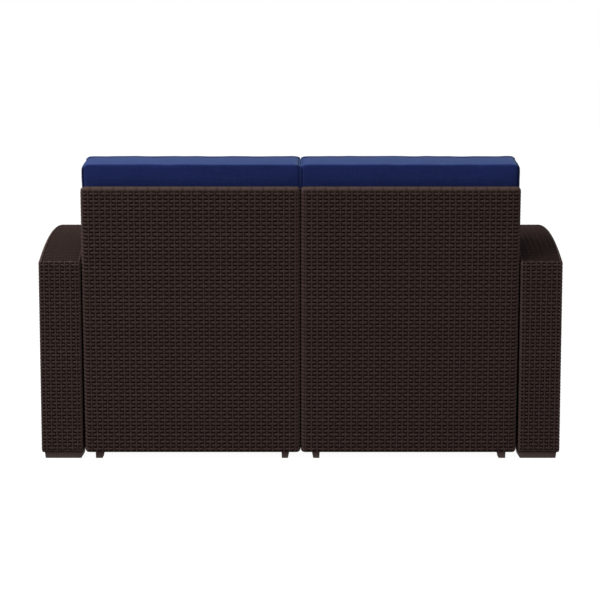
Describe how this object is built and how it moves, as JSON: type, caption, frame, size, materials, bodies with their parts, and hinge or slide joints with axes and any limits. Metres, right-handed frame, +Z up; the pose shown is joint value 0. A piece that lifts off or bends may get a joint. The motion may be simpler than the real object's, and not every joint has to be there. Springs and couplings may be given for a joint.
{
  "type": "patio loveseat",
  "caption": "Patio loveseat in moulded resin wicker with hollow arms, reclined back modules, seat decks on rails and a beam, and loose boxed cushions with zipped covers.",
  "frame": {"origin": "on the floor, below the middle of the bounding box", "axes": "+X to the sitter's left, along the length; +Y to the rear; +Z up; the seat faces -Y"},
  "size_m": [1.4, 0.72, 0.8125],
  "materials": {
    "woven_resin": "satin",
    "plain_resin": "satin",
    "foot_resin": "satin",
    "cushion_fabric": "matte",
    "foam": "matte",
    "zinc_steel": "satin",
    "zip_tape": "matte",
    "zip_metal": "satin"
  },
  "bodies": {
    "frame": {"arm_left_outer_shell": "woven_resin", "arm_left_inner_panel": "woven_resin", "arm_left_seat_rail": "plain_resin", "arm_left_front_foot": "foot_resin", "arm_left_rear_foot": "foot_resin", "back_left_rear_shell": "woven_resin", "back_left_front_panel": "plain_resin", "front_apron_left": "woven_resin", "back_left_outer_peg": "foot_resin", "front_left_outer_peg": "foot_resin", "back_left_inner_peg": "foot_resin", "front_left_inner_peg": "foot_resin", "seat_deck_left": "plain_resin", "arm_right_outer_shell": "woven_resin", "arm_right_inner_panel": "woven_resin", "arm_right_seat_rail": "plain_resin", "arm_right_front_foot": "foot_resin", "arm_right_rear_foot": "foot_resin", "back_right_rear_shell": "woven_resin", "back_right_front_panel": "plain_resin", "front_apron_right": "woven_resin", "back_right_outer_peg": "foot_resin", "front_right_outer_peg": "foot_resin", "back_right_inner_peg": "foot_resin", "front_right_inner_peg": "foot_resin", "seat_deck_right": "plain_resin", "centre_beam": "plain_resin", "frame_bolts": "zinc_steel", "frame_nuts": "zinc_steel", "deck_screws": "zinc_steel", "rail_screws": "zinc_steel"},
    "seat_cushion_left": {"seat_cushion_left_cover": "cushion_fabric", "seat_cushion_left_core": "foam", "seat_cushion_left_zip": "zip_tape"},
    "seat_zip_slider_left": {"seat_cushion_left_zip_slider": "zip_metal"},
    "back_cushion_left": {"back_cushion_left_cover": "cushion_fabric", "back_cushion_left_core": "foam", "back_cushion_left_zip": "zip_tape"},
    "back_zip_slider_left": {"back_cushion_left_zip_slider": "zip_metal"},
    "seat_cushion_right": {"seat_cushion_right_cover": "cushion_fabric", "seat_cushion_right_core": "foam", "seat_cushion_right_zip": "zip_tape"},
    "seat_zip_slider_right": {"seat_cushion_right_zip_slider": "zip_metal"},
    "back_cushion_right": {"back_cushion_right_cover": "cushion_fabric", "back_cushion_right_core": "foam", "back_cushion_right_zip": "zip_tape"},
    "back_zip_slider_right": {"back_cushion_right_zip_slider": "zip_metal"}
  },
  "joints": [
    {"name": "seat_cushion_left_lift", "type": "slide", "parent": "frame", "child": "seat_cushion_left", "axis": [0, 0, 1], "range_m": [0, 0.32]},
    {"name": "back_cushion_left_lift", "type": "slide", "parent": "seat_cushion_left", "child": "back_cushion_left", "axis": [0, 0.1736, 0.9848], "range_m": [0, 0.33]},
    {"name": "seat_zip_left_slide", "type": "slide", "parent": "seat_cushion_left", "child": "seat_zip_slider_left", "axis": [-1, 0, 0], "range_m": [0, 0.44]},
    {"name": "back_zip_left_slide", "type": "slide", "parent": "back_cushion_left", "child": "back_zip_slider_left", "axis": [-1, 0, 0], "range_m": [0, 0.44]},
    {"name": "seat_cushion_right_lift", "type": "slide", "parent": "frame", "child": "seat_cushion_right", "axis": [0, 0, 1], "range_m": [0, 0.32]},
    {"name": "back_cushion_right_lift", "type": "slide", "parent": "seat_cushion_right", "child": "back_cushion_right", "axis": [0, 0.1736, 0.9848], "range_m": [0, 0.33]},
    {"name": "seat_zip_right_slide", "type": "slide", "parent": "seat_cushion_right", "child": "seat_zip_slider_right", "axis": [1, 0, 0], "range_m": [0, 0.44]},
    {"name": "back_zip_right_slide", "type": "slide", "parent": "back_cushion_right", "child": "back_zip_slider_right", "axis": [1, 0, 0], "range_m": [0, 0.44]}
  ]
}
